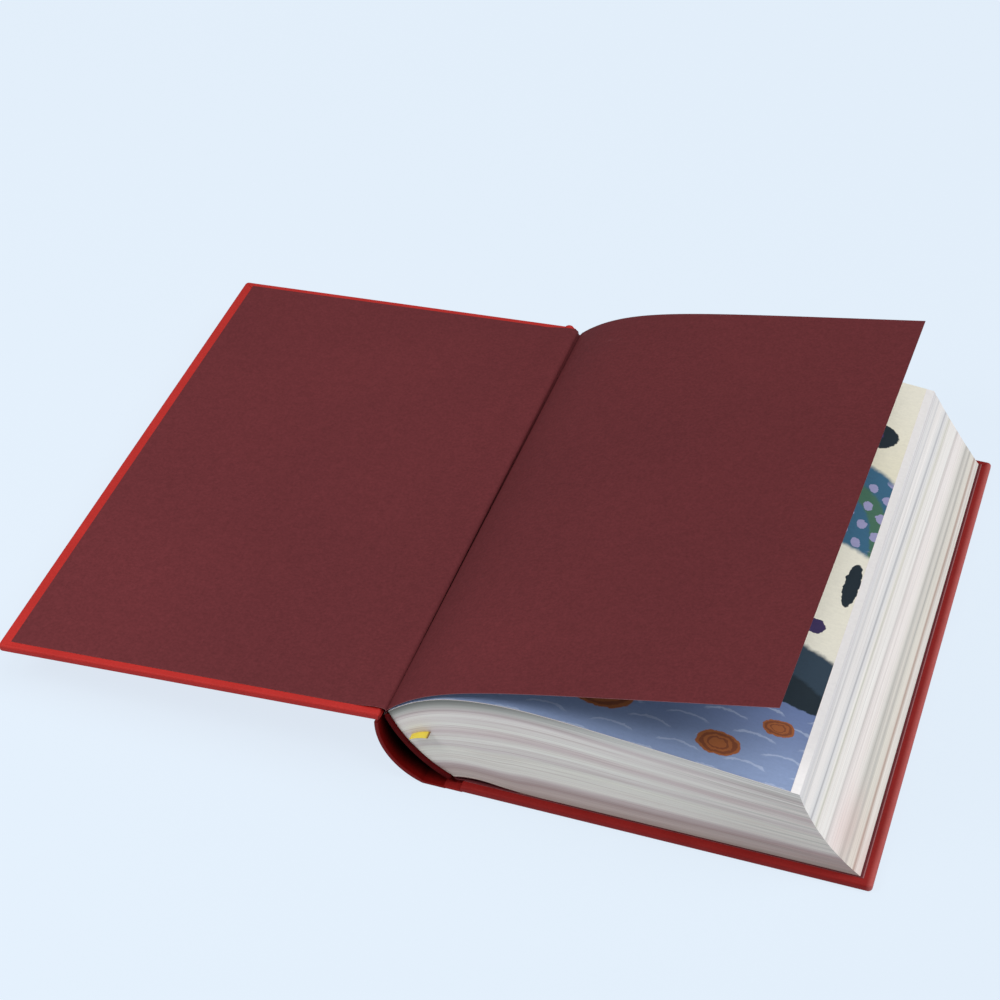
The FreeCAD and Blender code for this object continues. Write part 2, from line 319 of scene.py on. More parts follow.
# Book cloth: red, closely woven and smooth, a little cloudy. Two sets of threads, each the
# absolute sine of one direction, are multiplied for the weave
clothLook = {
    # One cloth: the front tone is the cloth as lit, and the darker back and spine tones are painted shade
    "front": (ink(180, 45, 41), ink(171, 41, 37)),
    "back": (ink(138, 30, 28), ink(130, 26, 24)),
    "spine": (ink(120, 18, 15), ink(110, 13, 12)),
    # Painted highlight colour for the back cover's fore-edge
    "paintedEdgeLight": ink(196, 104, 100),
    "thread": 0.36 * mm,
}


def coverClothFinish(part):
    light, dark = clothLook[part]
    make = Recipe("coverCloth_" + part, roughness=0.55, specular=0.12)
    cloudy = make.noise(make.object, 50.0, 3.0)
    fibres = make.noise(make.object, 1500.0, 2.0)
    tone = make.ramp(cloudy, [(0.3, dark), (0.7, light)])
    # Painted highlight: the back cover's cloth pales towards its fore-edge, where its rounded edge would
    # catch the light
    if part == "back":
        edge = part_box("back_cover_cloth")[1].x
        paintedEdgeLight = make.between(make.apart(make.object)[0], edge - 2.6 * mm, edge)
        tone = make.mix(make.times(paintedEdgeLight, 0.75), tone, clothLook["paintedEdgeLight"])
    make.colour(make.mottled(tone, fibres, 0.92, 1.06))
    scale = math.pi / clothLook["thread"]
    threads = []
    for k in (0, 1):
        wave = make.math("SINE", make.times(make.apart(make.object)[k], scale))
        threads.append(make.math("ABSOLUTE", wave))
    make.bump(make.times(threads[0], threads[1]), 0.02 * mm, 0.35)
    return make.material


# Endpaper: maroon printed on white paper. Its grain is a fine noise, its tone drifts slowly, and
# a few faint rubbed spots are where a stretched noise peaks
def endpaperFinish():
    tones = {"face": ink(102, 45, 49), "deep": ink(97, 43, 47), "rub": ink(132, 84, 86)}
    make = Recipe("endpaperPrint", roughness=0.75, specular=0.08)
    cloudy = make.noise(make.object, 9.0, 2.0, 0.5)
    grain = make.noise(make.object, 900.0, 3.0, 0.65)
    felt = make.noise(make.object, 260.0, 2.0, 0.5)
    tone = make.ramp(cloudy, [(0.35, tones["deep"]), (0.65, tones["face"])])
    tone = make.mottled(tone, grain, 0.86, 1.12)
    tone = make.mottled(tone, felt, 0.96, 1.04)
    rubbed = make.noise(make.scaled(make.object, (34, 52, 34), turn=0.5), 1.0, 4.0, 0.62)
    spots = make.between(rubbed, 0.71, 0.80)
    make.colour(make.mix(make.times(spots, 0.35), tone, tones["rub"]))
    make.bump(grain, 0.02 * mm, 0.3)
    return make.material


# Plain paper or card: two close tones by a noise, and the same noise as grain
def paperFinish(name, light, dark, scale=600.0):
    make = Recipe(name, roughness=0.85, specular=0.15)
    grain = make.noise(make.object, scale, 3.0, 0.6)
    make.colour(make.ramp(grain, [(0.3, dark), (0.7, light)]))
    make.bump(grain, 0.02 * mm, 0.3)
    return make.material


# The first ink is a painted shadow, laid on the top leaves' edges under the lifted flyleaf
edgeInks = {"flyleafShade": ink(118, 119, 114), "greyStreak": ink(166, 158, 154), "smudge": ink(226, 186, 182)}


# Cut edges of the leaves. V of the UV is the depth in the stack, 0 at the lowest leaf, and U runs
# along the leaves. A ramp over the depth, bent a little by noise, tints the sections, and two
# noises stretched along the leaves draw the single leaves
def leafEdgeFinish(name, bands, look):
    make = Recipe(name, roughness=0.8, specular=0.15)
    along, deep = make.apart(make.uv)[0:2]
    bend = make.noise(make.scaled(make.uv, (look["bend"], 2.0, 1)), 1.0, 1.0)
    depth = make.math("ADD", deep, make.times(make.math("SUBTRACT", bend, 0.5), look["wander"]))
    tone = make.ramp(depth, [(place, ink(*levels)) for place, *levels in bands])
    strips = make.noise(make.scaled(make.uv, (look["strip"], 70.0, 1)), 1.0, 2.0, 0.6)
    lines = make.noise(make.scaled(make.uv, (look["line"], 260.0, 1)), 1.0, 2.0, 0.7)
    tone = make.mix(look["stripShare"], tone, make.ramp(strips, look["strips"]), "MULTIPLY")
    tone = make.mottled(tone, lines, look["lineDepth"], 1.05, 0.62)
    # Painted shadow of the lifted flyleaf on the top leaves at the first end, and a greyer, streaky last part
    flyleafShaded = make.times(make.between(deep, 0.86, 1.0), make.between(along, look["flyleafShaded"], 0.1))
    tone = make.mix(make.times(flyleafShaded, look["flyleafShade"]), tone, edgeInks["flyleafShade"])
    # Greyer streaks over the last part of the leaves
    streaked = make.times(make.between(strips, 0.42, 0.6), make.between(along, 0.45, 0.95))
    tone = make.mix(make.times(streaked, look["greyStreak"]), tone, edgeInks["greyStreak"])
    # Pink smudges at the first end of the lower leaves
    smudge = make.times(make.between(along, 0.2, 0.03), make.between(deep, 0.5, 0.2))
    smudge = make.times(smudge, make.between(bend, 0.3, 0.6))
    tone = make.mix(make.times(smudge, look["smudge"]), tone, edgeInks["smudge"])
    make.colour(tone)
    make.bump(lines, 0.05 * mm, 0.5)
    return make.material


# Rows of (depth, red, green, blue)
tailBands = [
    (0.0, 192, 178, 170), (0.10, 198, 182, 176), (0.17, 178, 158, 154), (0.24, 198, 182, 180),
    (0.29, 228, 222, 214), (0.47, 230, 226, 216), (0.52, 216, 206, 202), (0.60, 236, 232, 224),
    (0.68, 212, 196, 194), (0.75, 238, 234, 226), (0.80, 228, 220, 214), (0.85, 236, 230, 224),
    (0.89, 214, 200, 198), (0.93, 236, 232, 226), (1.0, 230, 228, 222),
]
foreBands = [
    (0.0, 236, 232, 226), (0.05, 246, 242, 236), (0.08, 190, 166, 154), (0.10, 240, 236, 226),
    (0.15, 236, 232, 222), (0.175, 200, 198, 192), (0.20, 234, 230, 222), (0.25, 204, 202, 196),
    (0.28, 240, 236, 230), (0.34, 252, 246, 242), (0.43, 248, 241, 238), (0.46, 222, 216, 213),
    (0.48, 252, 249, 245), (0.60, 250, 246, 241), (0.63, 222, 220, 208), (0.65, 250, 247, 242),
    (0.70, 236, 235, 234), (0.72, 200, 199, 203), (0.74, 238, 237, 236), (0.80, 252, 248, 245),
    (0.86, 248, 244, 241), (0.88, 222, 220, 220), (0.90, 244, 241, 239), (0.95, 232, 230, 230),
    (1.0, 242, 239, 239),
]
tailLook = {"bend": 3.0, "wander": 0.05, "strip": 1.6, "line": 3.0, "stripShare": 1.0,
            "lineDepth": 0.92, "flyleafShaded": 0.85, "flyleafShade": 1.0, "greyStreak": 0.5, "smudge": 0.0,
            "strips": [(0.3, ink(226, 216, 216)), (0.5, grey(1.0)), (0.7, ink(244, 242, 238))]}
foreLook = {"bend": 2.0, "wander": 0.03, "strip": 1.2, "line": 2.0, "stripShare": 0.7,
            "lineDepth": 0.78, "flyleafShaded": 0.85, "flyleafShade": 0.0, "greyStreak": 0.0, "smudge": 0.6,
            "strips": [(0.3, ink(222, 216, 214)), (0.5, grey(1.0)), (0.7, ink(246, 240, 238))]}


# Inside of the hollow spine, with painted shade: dark red at its mouths, black further in where the hollow is
# in shade
def spineHollowShadeFinish():
    make = Recipe("spineHollowShade", roughness=0.9, specular=0.05)
    along = make.times(make.apart(make.uv)[1], 100.0)
    near = make.math("MINIMUM", along, make.math("SUBTRACT", book["coverHeight"], along))
    # Painted shade: the tone darkens further into the hollow
    tone = make.mix(make.between(near, 0.5, 8.0), ink(104, 10, 8), ink(16, 2, 2))
    grain = make.noise(make.object, 800.0, 2.0)
    make.colour(make.mottled(tone, grain, 0.9, 1.1))
    return make.material


spineHollowShade = spineHollowShadeFinish()
# Lit and shaded copies of one cloth: the back and spine finishes carry painted shade
coverCloth = {part: coverClothFinish(part) for part in ("front", "back", "spine")}
endpaperPrint = endpaperFinish()
endpaperBack = paperFinish("endpaperBack", ink(224, 221, 216), ink(214, 211, 206))
cutEndpaper = paperFinish("cutEndpaper", ink(160, 104, 106), ink(136, 84, 86), 1500.0)
foldPaper = paperFinish("foldPaper", ink(168, 150, 148), ink(140, 120, 118), 1500.0)
cutPaper = paperFinish("cutPaper", ink(196, 182, 178), ink(170, 150, 148), 2500.0)
pagePaper = paperFinish("pagePaper", ink(244, 241, 241), ink(238, 235, 235))
printedRim = paperFinish("printedRim", ink(214, 176, 166), ink(196, 158, 150), 1500.0)
tailEdges = leafEdgeFinish("tailEdges", tailBands, tailLook)
foreEdges = leafEdgeFinish("foreEdges", foreBands, foreLook)
greyBoard = paperFinish("greyBoard", ink(150, 144, 134), ink(124, 118, 108), 900.0)
# The lining is dark glued paper, made darker still as painted shade inside the hollow spine
liningPaper = paperFinish("liningPaper", ink(62, 10, 12), ink(44, 6, 8), 700.0)


# The printed first page: a generic landscape of plain shapes, in millimetres from its spine edge
# and its tail. Each entry lays one colour over what is below it
pageInks = {
    "cream": ink(241, 237, 222), "sand": ink(236, 230, 206), "slate": ink(28, 42, 52),
    "stone": ink(48, 66, 82), "teal": ink(58, 104, 134), "pond": ink(136, 154, 190),
    "ripple": ink(186, 198, 222), "lilac": ink(158, 156, 196), "moss": ink(70, 112, 92),
    "plum": ink(60, 48, 92), "rust": ink(158, 92, 52), "bark": ink(108, 56, 40), "deep": ink(106, 124, 168),
}
printed = {
    "width": 150.0, "height": 234.0,
    "discs": [                   # centre, half sizes, ink
        ((104, 216), (13, 13), "slate"), ((104, 216), (5.5, 5.5), "plum"), ((136, 197), (10, 8), "slate"),
        ((136, 197), (4, 3.5), "plum"), ((60, 224), (7, 7), "teal"), ((10, 136), (30, 42), "moss"),
        ((66, 128), (36, 48), "teal"), ((134, 122), (32, 56), "teal"), ((134, 122), (22, 44), "moss"),
        ((134, 122), (15, 35), "teal"), ((66, 128), (24, 34), "moss"), ((30, 96), (52, 36), "sand"),
        ((118, 86), (62, 46), "cream"), ((96, 108), (3.0, 12), "slate"), ((108, 112), (3.4, 15), "slate"),
        ((121, 109), (3.0, 13), "slate"), ((134, 113), (3.6, 16), "slate"),
        ((147, 108), (3.0, 12), "slate"), ((22, 108), (3.0, 12), "slate"),
        ((36, 112), (3.4, 15), "slate"), ((50, 108), (3.0, 12), "slate"), ((116, 84), (4.2, 4.2), "plum"),
        ((128, 90), (3.4, 3.4), "plum"), ((139, 82), (4.0, 4.0), "plum"), ((40, 20), (60, 48), "stone"),
        ((126, 28), (46, 44), "stone"), ((126, 26), (34, 30), "slate"), ((40, 18), (44, 32), "slate"),
    ],
    "waterline": 36.0,
    "pads": [((34, 13), (10, 7)), ((76, 20), (12, 8)), ((121, 12), (8, 5.5)), ((139, 27), (6, 4))],
    "ripplePitch": (24.0, 14.0), "dotPitch": (13.0, 11.0),
    "shake": 2.4,                # how far the outlines waver
}


def printedPageFinish():
    make = Recipe("printedPage", roughness=0.6, specular=0.2)
    page = make.scaled(make.uv, (printed["width"], printed["height"], 0))
    shake = make.noise(page, 0.35, 3.0, 0.6, "Color")
    reach = printed["shake"]
    page = make.vector("MULTIPLY_ADD", shake, (reach, reach, 0), page)
    page = make.vector("SUBTRACT", page, (reach / 2, reach / 2, 0))
    x, y = make.apart(page)[0:2]

    # Distance from a disc's centre, 1 at its rim
    def fromCentre(coords, centre, half, turn=0.0):
        inputs = {"Vector": coords, "Location": (*centre, 0), "Scale": (*half, 1),
                  "Rotation": (0, 0, math.radians(turn))}
        local = make.add("ShaderNodeMapping", inputs, vector_type="TEXTURE").outputs[0]
        return make.add("ShaderNodeVectorMath", {0: local}, operation="LENGTH").outputs["Value"]

    def disc(coords, centre, half, turn=0.0):
        return make.between(fromCentre(coords, centre, half, turn), 1.03, 0.97)

    def ring(coords, centre, half, thick):
        away = make.math("ABSOLUTE", make.math("SUBTRACT", fromCentre(coords, centre, half), 1.0))
        return make.between(away, thick * 1.3, thick * 0.7)

    tone = make.mix(make.between(y, 150.0, 234.0), pageInks["sand"], pageInks["cream"])
    for centre, half, name in printed["discs"]:
        tone = make.mix(disc(page, centre, half), tone, pageInks[name])
    # Small lozenge-like dots on the hills, in rows
    wide, high = printed["dotPitch"]
    for shift in ((0, 0), (wide / 2, high / 2)):
        cell = make.vector("WRAP", make.vector("ADD", page, (*shift, 0)), (wide, high, 1), (0, 0, 0))
        hills = make.times(make.between(y, 128, 130), make.between(y, 172, 168))
        dots = make.times(disc(cell, (wide / 2, high / 2), (2.0, 2.6), 20), hills)
        tone = make.mix(make.times(dots, make.between(x, 36, 40)), tone, pageInks["lilac"])
    # Water at the tail with rows of low arcs, and round pads on it
    level = make.math("ADD", printed["waterline"], make.times(make.math("SINE",
                      make.times(x, 0.06)), 4.0))
    below = make.between(make.math("SUBTRACT", level, y), -0.3, 0.3)
    water = make.mix(make.between(y, 0.0, 44.0), pageInks["pond"], pageInks["deep"])
    wide, high = printed["ripplePitch"]
    for shift in ((0, 0), (wide / 2, high / 2)):
        cell = make.vector("WRAP", make.vector("ADD", page, (*shift, 0)), (wide, high, 1), (0, 0, 0))
        upper = make.between(make.apart(cell)[1], high * 0.36, high * 0.46)
        arcs = ring(cell, (wide / 2, high * 0.2), (wide * 0.36, high * 0.34), 0.09)
        arcs = make.times(arcs, upper)
        water = make.mix(make.times(arcs, 0.5), water, pageInks["ripple"])
    for centre, half in printed["pads"]:
        water = make.mix(disc(page, centre, half), water, pageInks["rust"])
        for size in (0.75, 0.45):
            water = make.mix(make.times(ring(page, centre, [h * size for h in half], 0.12), 0.7),
                             water, pageInks["bark"])
    tone = make.mix(below, tone, water)
    brush = make.noise(make.scaled(page, (0.25, 0.9, 1), turn=0.2), 1.0, 3.0, 0.6)
    tone = make.mottled(tone, brush, 0.96, 1.02)
    grain = make.noise(make.object, 900.0, 2.0, 0.6)
    tone = make.mottled(tone, grain, 0.97, 1.02)
    make.colour(tone)
    make.bump(grain, 0.005 * mm, 0.1)
    return make.material


printedPage = printedPageFinish()
print("finishes made")


# Leaves

leaves = {
    "width": 145.1,
    "crownRise": 15.2, "crownX": 28.0,
    "edgeHeight": 31.6,
    "slip": (24.0, 22.0),        # tail, head: how far the top leaf has slipped back at the fore-edge
    "hollow": (2.8, 0.4),
    "lag": (0.0, 0.05),
    "floor": 3.4,
    "archHeight": 1.5, "archReach": 34.0,
    "alongCount": 80, "deepCount": 200, "highCount": 60,
    "leafRag": 0.05, "sectionRag": 0.10, "sections": 21,
    "firstLeafMargin": 3.2,      # strip of the next leaf that shows beyond the printed one
    "firstLeafLift": 0.14, "topRun": 155.0,
}


# Outline of the leaves at the tail (end 0) or head (end 1), as evenly spaced lines
def blockSection(end):
    root = spineTop + (book["gutterDrift"] * end, 0)
    edge = np.array([foot[0] + leaves["width"] - leaves["slip"][end], leaves["floor"] + leaves["edgeHeight"]])
    low = np.array([foot[0] + leaves["width"], leaves["floor"]])
    crown = np.array([leaves["crownX"], root[1] + leaves["crownRise"]])
    lag = leaves["lag"][end]
    climb = [(0.11, 0.265 - lag), (0.34, 0.64 - lag), (0.63, 0.885 - lag / 2)]
    fall = [(0.28, 0.15), (0.62, 0.54)]
    points = [root] + [root + (crown - root) * share for share in climb] + [crown]
    points += [crown + (edge - crown) * share for share in fall] + [edge]
    reach, height = leaves["archReach"], leaves["archHeight"]
    arch = [foot, (foot[0] + reach * 0.18, leaves["floor"] + height),
            (foot[0] + reach * 0.5, leaves["floor"] + height * 0.6), (foot[0] + reach, leaves["floor"])]
    return {
        "top": evenly(curveThrough(points, 400), 200),
        "bottom": evenly(np.r_[curveThrough(arch, 40), [low]], 200),
        "spine": evenly(arcLine(foot, root, book["spineArch"], 60), 60),
        "edge": evenly(arcLine(low, edge, leaves["hollow"][end], 60), 60),
    }


sections = [blockSection(0), blockSection(1)]


# Coons patch: between bottom and top by t, and between spine and fore-edge by s
def inSection(section, s, t):
    bottom, top = alongLine(section["bottom"], s), alongLine(section["top"], s)
    spine, edge = alongLine(section["spine"], t), alongLine(section["edge"], t)
    s, t = s[..., None], t[..., None]
    corners = ((1 - s) * (1 - t) * section["bottom"][0] + s * (1 - t) * section["bottom"][-1]
               + (1 - s) * t * section["top"][0] + s * t * section["top"][-1])
    return (1 - t) * bottom + t * top + (1 - s) * spine + s * edge - corners


# Uneven cut of the leaves: a random offset for each leaf and for each sewn section, always
# inwards, which changes slowly along the leaf
def ragged(seed, rows):
    rng = np.random.default_rng(seed)
    single = rng.random((3, rows))
    each = rows // leaves["sections"] + 1
    perSection = np.repeat(rng.random((3, leaves["sections"])), each, axis=1)[:, :rows]
    table = leaves["leafRag"] * single + leaves["sectionRag"] * perSection

    def offset(along, t):
        row = np.clip((t * (rows - 1)).round().astype(int), 0, rows - 1)
        part = np.clip(along, 0, 1) * 2
        k = np.clip(part.astype(int), 0, 1)
        share = part - k
        share = share * share * (3 - 2 * share)
        edge = np.clip(np.minimum(t, 1 - t) * 40, 0, 1)
        return (table[k, row] * (1 - share) + table[k + 1, row] * share) * edge

    return offset


cuts = [ragged(seed, leaves["deepCount"]) for seed in (11, 12, 13)]


# A point of the leaves: ruled from the tail's outline to the head's, with the ragged cuts
def inLeaves(s, t, v):
    flat = (1 - v)[..., None] * inSection(sections[0], s, t) + v[..., None] * inSection(sections[1], s, t)
    y = tailY + v * book["pageHeight"]
    y = y + np.where(v == 0, cuts[0](s, t), 0) - np.where(v == 1, cuts[1](s, t), 0)
    x = flat[..., 0] - np.where(s == 1, cuts[2](v, t), 0)
    return np.stack([x, y, flat[..., 1]], -1)


def makeLeaves():
    s = np.linspace(0, 1, leaves["alongCount"])
    t = np.linspace(0, 1, leaves["deepCount"])
    v = np.linspace(0, 1, leaves["highCount"])
    patches = []
    ss, tt = grid(s, t)
    for end in (0.0, 1.0):
        patches.append((inLeaves(ss, tt, np.full_like(ss, end)), np.stack([ss, tt], -1), 0))
    vv, tt = grid(v, t)
    for side in (0.0, 1.0):
        patches.append((inLeaves(np.full_like(vv, side), tt, vv), np.stack([vv, tt], -1), 1))
    ss, vv = grid(s, v)
    for deep, number in ((0.0, 6), (1.0, 2)):
        patches.append((inLeaves(ss, np.full_like(ss, deep), vv), np.stack([ss, vv], -1), number))
    # The printed first leaf, a sheet of its own on top
    widest = 1 - leaves["firstLeafMargin"] / leaves["topRun"]
    ss, vv = grid(np.linspace(0.004, widest, 90), np.linspace(0.0006, 0.9994, 60))
    low = inLeaves(ss, np.ones_like(ss), vv)
    uv = np.stack([ss / widest, vv], -1)
    patches += slab(low + (0, 0, 0.02), low + (0, 0, leaves["firstLeafLift"]), uv, 3, 2, (4, 5, 4, 4))
    materials = [tailEdges, foreEdges, pagePaper, printedPage, cutPaper, printedRim, endpaperPrint]
    piece = makePiece("leaf_stack", patches, materials, "book_block", 30)
    standFor(piece, "leaves", "text_block")
    print("leaves:", len(piece.data.polygons), "faces")


makeLeaves()


# Lifted leaf

liftedLeaf = {
    "run": (135.9, 138.5),       # tail, head
    "rise": (44.0, 39.3),
    "slope": (0.735, 0.68),      # share of the rise that is a straight slope
    "bend": (0.1, 0.115),        # how soon it leaves its steep root
    "foldAxis": (-0.208, 0, 0.978),
    "keep": 0.55,                # share of its height that is left when the cover is closed
}


# Climbs as slope * s + (1 - slope) * (1 - exp(-s / bend)) along the share s of its run
def leafLine(end, s):
    slope, bend = liftedLeaf["slope"][end], liftedLeaf["bend"][end]
    climb = slope * s + (1 - slope) * (1 - np.exp(-s / bend))
    root = leafRoot + (book["gutterDrift"] * end, 0)
    return np.stack([root[0] + s * liftedLeaf["run"][end], root[1] + climb * liftedLeaf["rise"][end]], -1)


def makeLiftedLeaf():
    s, v = grid(np.linspace(0, 1, 110) ** 1.5, np.linspace(0, 1, 60))
    flat = (1 - v)[..., None] * leafLine(0, s) + v[..., None] * leafLine(1, s)
    low = standing(flat, tailY + v * book["pageHeight"])
    patches = slab(low, low + (0, 0, book["paper"]), np.stack([s, v], -1), 0, 1, (0, 2, 2, 2))
    piece = makePiece("lifted_flyleaf", patches, [endpaperPrint, endpaperBack, cutEndpaper], "book_block")
    standFor(piece, "endpaper", "front_flyleaf")
    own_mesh(piece)


makeLiftedLeaf()


# Covers. A point of a cover is d from its board's inner edge, towards its fore-edge, and h above
# its inner face

frontCover = {
    "tilt": math.radians(4.3),
    "joint": 2.8,                # from the leaves' upper corner to the board
    "lift": 0.56,
}
frontEdge = spineTop + (-frontCover["joint"], frontCover["lift"])


def onFrontCover(d, h):
    cos, sin = math.cos(frontCover["tilt"]), math.sin(frontCover["tilt"])
    return np.stack([frontEdge[0] - d * cos - h * sin, frontEdge[1] - d * sin + h * cos], -1)


def onBackCover(d, h):
    return np.stack([book["backJoint"] + d, book["coverThickness"] + h + 0 * d], -1)


coverShape = {
    "edgeRound": 1.0,
    "cornerRound": 1.6,
    "jointCorner": 0.7,
    "turnIn": 15.0,
    "turnLift": 0.03,            # the turned-in cloth above the board's inner face
    "mitreStep": 0.14,
    "mitreReach": 6.0,
}


# The outline of a cover in plan, inset by a distance: straight sides and round corners, from the
# middle of the joint side round to the same point
def insetOutline(inset, steps=9):
    left, right, high = -book["cloth"], book["boardWidth"], book["coverHeight"]
    fore, joint = coverShape["cornerRound"], coverShape["jointCorner"]
    corners = [(left, 0, joint, 180), (right, 0, fore, 270), (right, high, fore, 0), (left, high, joint, 90)]
    parts = [[(left + inset, high / 2)]]
    for k, (x, y, radius, begin) in enumerate(corners):
        angles = np.radians(np.linspace(begin, begin + 90, steps))
        inwards = np.array([1 if x == left else -1, 1 if y == 0 else -1])
        centre = (x, y) + inwards * max(radius, inset)
        parts.append(centre + max(radius - inset, 0.0) * np.stack([np.cos(angles), np.sin(angles)], 1))
        if k == 1:
            parts.append([(right - inset, high / 2)])
    return np.concatenate(parts + [parts[0]])


# The cloth round a board. Profiles of (inset, height) are carried round the outline: the outer one
# from the turned-in edge over both rounded edges to the middle of the outer face, the inner one
# back again. A low wedge beside each corner's diagonal is the folded mitre
def makeCoverCloth(name, place, finish, body, node):
    reach, thick, cloth = coverShape["edgeRound"], book["coverThickness"], book["cloth"]
    turn, lift = coverShape["turnIn"], coverShape["turnLift"]
    middle = (book["boardWidth"] + cloth) / 2
    bend = np.radians(np.linspace(0, 90, 7))
    upper = np.stack([reach * (1 - np.sin(bend)), -reach * (1 - np.cos(bend))], 1)
    outer = np.r_[[(turn, lift)], upper, (upper * (1, -1) - (0, thick))[::-1], [(middle, -thick)]]
    inner = np.array([(middle, cloth - thick), (cloth, cloth - thick), (cloth, -cloth),
                      (turn, -cloth), (turn, lift)])
    patches = []
    for profile in (outer, inner):
        outline = np.stack([insetOutline(inset) for inset, height in profile])
        heights = np.broadcast_to(profile[:, 1:], outline.shape[:2])
        patches.append((standing(place(outline[..., 0], heights), outline[..., 1]), outline / 100, 0))
    a, b = grid(np.linspace(0, 1, 8), np.linspace(0, 1, 6))
    inset = 1.2 + (turn - 1.4) * a
    d = book["boardWidth"] - inset - coverShape["mitreReach"] * b
    height = lift + coverShape["mitreStep"] * (1 - b) ** 2 * np.clip(a * 8, 0.1, 1)
    for y in (inset, book["coverHeight"] - inset):
        uv = np.stack([d, y], -1) / 100
        patches += slab(standing(place(d, 0 * d - 0.05), y), standing(place(d, height), y), uv)
    piece = makePiece(name, patches, [finish], body, 50)
    standFor(piece, "cover_cloth", node)


# The cloth gathers in a small lump where it is turned in beside the front joint, at the head: the
# half sizes are along the edge, across it and in height
tuck = {"centre": (1.7, book["coverHeight"] - 1.5), "half": (1.9, 1.5, 1.25)}


def makeJointTuck():
    reach, turn = grid(np.linspace(0, 1, 10), np.radians(np.linspace(0, 360, 25)))
    d = tuck["centre"][0] + tuck["half"][0] * reach * np.cos(turn)
    y = tuck["centre"][1] + tuck["half"][1] * reach * np.sin(turn) * 0.99
    height = tuck["half"][2] * np.sqrt(np.clip(1 - reach ** 2, 0, 1)) - 0.1
    uv = np.stack([d, y], -1) / 100
    faces = [standing(onFrontCover(d, high), y) for high in (height, 0 * d - 0.1)]
    patches = [(face, uv, 0) for face in faces]
    piece = makePiece("front_head_tuck", patches, [coverCloth["front"]], "front_cover", 60)


makeJointTuck()
for body, place, part in (("front_cover", onFrontCover, "front"), ("back_cover", onBackCover, "back")):
    makeCoverCloth(part + "_case_cloth", place, coverCloth[part], body, part + "_cover_cloth")
print("covers made")


# Case spine: cloth round the stiffener, turned in at tail and head, with the flat strip under
# the back joint. A closed profile of (y, depth) is carried along the spine's outer line
caseSpine = {
    "lap": 1.4, "drop": 1.0,     # its front end from the front board, sideways and down
    "arch": 4.8,
    "stripEnd": 8.4,
    "stiffener": 0.8,
    "round": 0.6,
    "jointThickness": 0.85,
}
caseTop = (frontEdge[0] - caseSpine["lap"], frontEdge[1] - book["coverThickness"] - caseSpine["drop"])


def makeCaseSpine():
    strip = np.stack([np.linspace(caseSpine["stripEnd"], 0.5, 12), np.zeros(12)], 1)
    arc = arcLine((0, 0), caseTop, caseSpine["arch"], 60)
    line = np.r_[strip, arc]
    inwards = -leftOf(line)
    cloth, turn, high = book["cloth"], coverShape["turnIn"], book["coverHeight"]
    thin, thick = caseSpine["jointThickness"], 2 * cloth + caseSpine["stiffener"]
    full = np.interp(np.arange(len(line)), [0, 10, 16, len(line)], [thin, thin, thick, thick])
    r = caseSpine["round"] / 2
    bend = np.radians(np.linspace(0, 90, 5))
    tailRound = [(r * (1 - np.sin(b)), r * (1 - np.cos(b)), 0.0) for b in bend]
    tailRound += [(r * (1 - np.cos(b)), -r * (1 - np.sin(b)), 1.0) for b in bend]
    headRound = [(high - y, depth, whole) for y, depth, whole in reversed(tailRound)]
    inside = [tailRound[-1], (turn, 0, 1), (turn, -cloth, 1), (cloth, -cloth, 1), (cloth, cloth, 0)]
    inside += [(high - y, depth, whole) for y, depth, whole in reversed(inside)]
    patches = []
    run = np.r_[0, np.cumsum(np.hypot(*np.diff(line, axis=0).T))]
    for number, profile in enumerate((headRound + tailRound, inside)):
        profile = np.array(profile)
        depth = profile[None, :, 1] + profile[None, :, 2] * full[:, None]
        flat = line[:, None] + inwards[:, None] * depth[..., None]
        across = np.broadcast_to(profile[None, :, 0], depth.shape)
        uv = np.stack([np.broadcast_to(run[:, None], depth.shape), across], -1)
        patches.append((standing(flat, profile[None, :, 0]), uv / 100, number))
    materials = [coverCloth["spine"], spineHollowShade]
    piece = makePiece("case_spine_cloth", patches, materials, "book_block", 50, fill=True)
    standFor(piece, "cover_cloth", "spine_cloth")


# A strip along Y, ruled from a line at the tail to one at the head and thickened evenly, whose ends
# are rounded
def ruledStrip(name, tailLine, headLine, thickness, first, last, materials, numbers=(0, 0, (0, 0, 0, 0))):
    step = np.r_[0, 0.06, 0.2, 0.4, 0.6]
    y = np.r_[first + step, np.linspace(first + 2, last - 2, 24), (last - step)[::-1]]
    near = np.clip(np.minimum(y - first, last - y) / 0.6, 0, 1)
    half = (thickness / 2 * np.sqrt(1 - 0.98 * (1 - near) ** 2))[None, :, None]
    v = ((y - first) / (last - first))[None, :, None]
    line = (1 - v) * tailLine[:, None] + v * headLine[:, None]
    side = (1 - v) * leftOf(tailLine)[:, None] + v * leftOf(headLine)[:, None]
    faces = [standing(line + sign * half * side, y[None]) for sign in (-1, 1)]
    across = np.broadcast_to(np.linspace(0, 1, len(tailLine))[:, None], line.shape[:2])
    uv = np.stack([across, np.broadcast_to(y[None] / 100, line.shape[:2])], -1)
    return makePiece(name, slab(*faces, uv, *numbers), materials, None, 50)


joints = {
    "front": ((0.6, -0.8), (0.72, 0.3), (1.3, 1.7), (1.95, 3.1)),  # from the case spine's front end
    "frontThickness": 1.1,
    "back": (7.8, 14.6), "backHeight": 0.445,
    "backThickness": 0.87,
    "backBend": (8.3, 9.7),      # where it starts and stops bending
}


